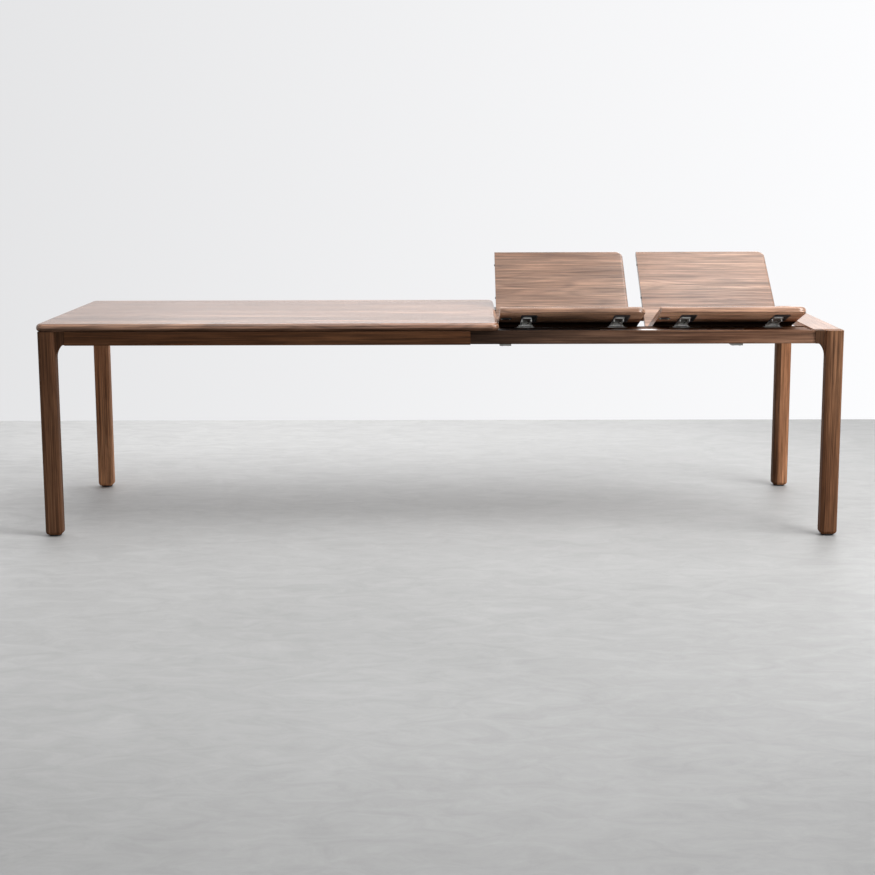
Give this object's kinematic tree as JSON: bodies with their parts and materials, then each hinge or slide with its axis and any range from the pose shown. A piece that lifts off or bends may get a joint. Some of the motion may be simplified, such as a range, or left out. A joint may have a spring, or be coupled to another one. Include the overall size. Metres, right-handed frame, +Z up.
{
  "type": "extending dining table",
  "caption": "Extending walnut dining table: long fixed top, pull-out end frame on telescopic slides, and folding leaves that open like a book between them.",
  "frame": {"origin": "on the floor, under the middle of the pulled-out table", "axes": "+X along the table towards the pulled-out end frame, +Y to the back, +Z up"},
  "size_m": [2.784, 0.95, 0.9427],
  "materials": {
    "walnut_top": "oiled walnut, satin",
    "walnut_frame": "oiled walnut, satin",
    "black_steel": "satin black",
    "zinc_steel": "bright zinc",
    "black_nylon": "matt"
  },
  "bodies": {
    "main_frame": {"main_top": "walnut_top", "leg_front_left": "walnut_frame", "leg_back_left": "walnut_frame", "glides_left": "black_nylon", "end_apron_left": "walnut_frame", "apron_front": "walnut_frame", "apron_back": "walnut_frame", "slide_outer_front": "black_steel", "slide_outer_back": "black_steel"},
    "middle_slides": {"slide_middle_front": "black_steel", "slide_middle_back": "black_steel"},
    "end_frame": {"leg_front_right": "walnut_frame", "leg_back_right": "walnut_frame", "glides_right": "black_nylon", "end_apron_right": "walnut_frame", "rail_front": "walnut_frame", "rail_back": "walnut_frame", "runner_front": "walnut_frame", "runner_back": "walnut_frame", "slide_inner_front": "zinc_steel", "slide_inner_back": "zinc_steel", "rail_straps": "zinc_steel", "leaf_rests": "black_nylon"},
    "leaf_1_carriage": {"leaf_1_carriage_bar": "zinc_steel", "leaf_1_hinge_bases": "zinc_steel", "leaf_1_pivot_pins": "zinc_steel"},
    "leaf_1_front": {"leaf_1_front_half": "walnut_top", "leaf_1_hinge_arms": "zinc_steel", "leaf_1_arm_plates": "black_steel", "leaf_1_lock_plate": "black_steel", "leaf_1_spine_plates_front": "zinc_steel", "leaf_1_spine_pins": "zinc_steel"},
    "leaf_1_back": {"leaf_1_back_half": "walnut_top", "leaf_1_spine_plates_back": "zinc_steel", "leaf_1_dowels": "black_nylon"},
    "leaf_2_carriage": {"leaf_2_carriage_bar": "zinc_steel", "leaf_2_hinge_bases": "zinc_steel", "leaf_2_pivot_pins": "zinc_steel"},
    "leaf_2_front": {"leaf_2_front_half": "walnut_top", "leaf_2_hinge_arms": "zinc_steel", "leaf_2_arm_plates": "black_steel", "leaf_2_lock_plate": "black_steel", "leaf_2_spine_plates_front": "zinc_steel", "leaf_2_spine_pins": "zinc_steel"},
    "leaf_2_back": {"leaf_2_back_half": "walnut_top", "leaf_2_spine_plates_back": "zinc_steel", "leaf_2_dowels": "black_nylon"}
  },
  "joints": [
    {"name": "end_frame_slide", "type": "slide", "parent": "main_frame", "child": "end_frame", "axis": [1, 0, 0], "range_m": [-0.028, 0.012]},
    {"name": "middle_slides_follow", "type": "slide", "parent": "main_frame", "child": "middle_slides", "axis": [1, 0, 0], "range_m": [-0.015, 0.007]},
    {"name": "leaf_1_slide", "type": "slide", "parent": "main_frame", "child": "leaf_1_carriage", "axis": [1, 0, 0], "range_m": [-0.0025, 0.048]},
    {"name": "leaf_1_tilt", "type": "hinge", "parent": "leaf_1_carriage", "child": "leaf_1_front", "pos_m": [0, -0.264, 0.7195], "axis": [-1, 0, 0], "range_deg": [-15.5, 9.5]},
    {"name": "leaf_1_fold", "type": "hinge", "parent": "leaf_1_front", "child": "leaf_1_back", "pos_m": [0, -0.0022, 0.67564], "axis": [1, 0, 0], "range_deg": [-50, 30.7]},
    {"name": "leaf_2_slide", "type": "slide", "parent": "main_frame", "child": "leaf_2_carriage", "axis": [1, 0, 0], "range_m": [-0.048, 0.028]},
    {"name": "leaf_2_tilt", "type": "hinge", "parent": "leaf_2_carriage", "child": "leaf_2_front", "pos_m": [0, -0.264, 0.7195], "axis": [-1, 0, 0], "range_deg": [-15.5, 9.5]},
    {"name": "leaf_2_fold", "type": "hinge", "parent": "leaf_2_front", "child": "leaf_2_back", "pos_m": [0, -0.0022, 0.67564], "axis": [1, 0, 0], "range_deg": [-50, 30.7]}
  ],
  "couplings": [
    {"joint": "middle_slides_follow", "follows": "end_frame_slide", "ratio": 0.5},
    {"joint": "leaf_1_fold", "follows": "leaf_1_tilt", "ratio": 3.2258},
    {"joint": "leaf_2_fold", "follows": "leaf_2_tilt", "ratio": 3.2258}
  ]
}
